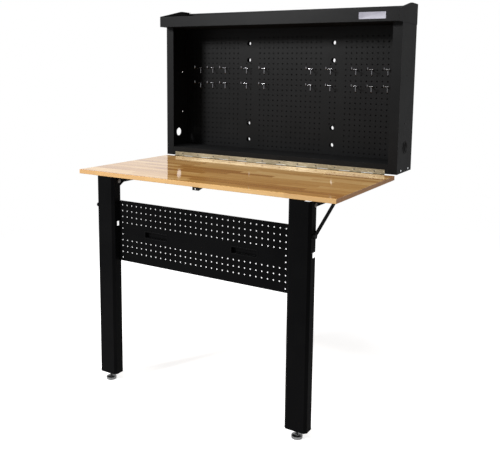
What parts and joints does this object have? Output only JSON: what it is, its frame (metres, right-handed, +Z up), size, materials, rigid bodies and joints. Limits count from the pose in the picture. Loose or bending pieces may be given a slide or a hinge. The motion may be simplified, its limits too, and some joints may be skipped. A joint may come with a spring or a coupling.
{
  "type": "wall mounted folding workbench",
  "caption": "Shallow steel wall cabinet with pegboard and top tray, and a hinged wooden worktop that folds up against it with its hinged leg frame and hook braces.",
  "frame": {"origin": "centre of the wall hole pattern, on the plane of the wall behind the cabinet", "axes": "+X to the right of someone who faces the bench, +Y into the wall, +Z up"},
  "size_m": [1.204, 0.8025, 1.632],
  "materials": {
    "black_powder_coat": "fine satin black powder coat on folded steel sheet",
    "beech_board": "clear satin lacquer on light finger-jointed hardwood",
    "chrome_wire": "bright plated wire",
    "hinge_steel": "plated steel strip",
    "zinc_steel": "zinc plated steel",
    "black_plastic": "moulded black plastic",
    "black_rubber": "soft black bush"
  },
  "bodies": {
    "cabinet": {"left_side_panel": "black_powder_coat", "right_side_panel": "black_powder_coat", "left_cable_grommet": "black_rubber", "right_cable_grommet": "black_rubber", "back_sheet": "black_powder_coat", "pegboard_back": "black_powder_coat", "cabinet_floor": "black_powder_coat", "tray_pan": "black_powder_coat", "left_tray_end": "black_powder_coat", "right_tray_end": "black_powder_coat", "tool_hooks": "chrome_wire", "hinge_leaf_upper": "hinge_steel", "hinge_pin": "hinge_steel", "hinge_screws": "zinc_steel"},
    "worktop": {"worktop_board": "beech_board", "hinge_leaf_lower": "hinge_steel", "left_leg_bracket": "black_powder_coat", "right_leg_bracket": "black_powder_coat", "bracket_screws": "zinc_steel", "left_brace_pin": "zinc_steel", "right_brace_pin": "zinc_steel", "left_brace_spacer": "zinc_steel", "right_brace_spacer": "zinc_steel", "catch_plate": "zinc_steel"},
    "leg_frame": {"left_leg": "black_powder_coat", "right_leg": "black_powder_coat", "leg_panel": "black_powder_coat", "left_pull_cup": "black_plastic", "right_pull_cup": "black_plastic", "panel_bolts": "zinc_steel", "left_pivot_bolt": "zinc_steel", "right_pivot_bolt": "zinc_steel", "pivot_washers": "black_plastic", "left_brace_stud": "zinc_steel", "right_brace_stud": "zinc_steel", "left_leg_cap": "black_plastic", "right_leg_cap": "black_plastic", "left_foot_plate": "zinc_steel", "right_foot_plate": "zinc_steel", "left_foot_nut": "zinc_steel", "right_foot_nut": "zinc_steel"},
    "left_brace": {"left_brace_bar": "black_powder_coat"},
    "right_brace": {"right_brace_bar": "black_powder_coat"},
    "left_foot": {"left_levelling_foot": "zinc_steel"},
    "right_foot": {"right_levelling_foot": "zinc_steel"}
  },
  "joints": [
    {"name": "worktop_fold", "type": "hinge", "parent": "cabinet", "child": "worktop", "pos_m": [0, -0.196, -0.326], "axis": [-1, 0, 0], "range_deg": [0, 90]},
    {"name": "leg_fold", "type": "hinge", "parent": "worktop", "child": "leg_frame", "pos_m": [0, -0.764, -0.361], "axis": [1, 0, 0], "range_deg": [0, 90]},
    {"name": "left_brace_swing", "type": "hinge", "parent": "worktop", "child": "left_brace", "pos_m": [-0.5065, -0.584, -0.36], "axis": [-1, 0, 0], "range_deg": [0, 29.6]},
    {"name": "right_brace_swing", "type": "hinge", "parent": "worktop", "child": "right_brace", "pos_m": [0.5065, -0.584, -0.36], "axis": [-1, 0, 0], "range_deg": [0, 29.6]},
    {"name": "left_foot_adjust", "type": "slide", "parent": "leg_frame", "child": "left_foot", "axis": [0, 0, 1], "range_m": [-0.01, 0.012]},
    {"name": "right_foot_adjust", "type": "slide", "parent": "leg_frame", "child": "right_foot", "axis": [0, 0, 1], "range_m": [-0.01, 0.012]}
  ],
  "couplings": [
    {"joint": "left_brace_swing", "follows": "leg_fold", "ratio": 0.32767},
    {"joint": "right_brace_swing", "follows": "leg_fold", "ratio": 0.32767}
  ]
}
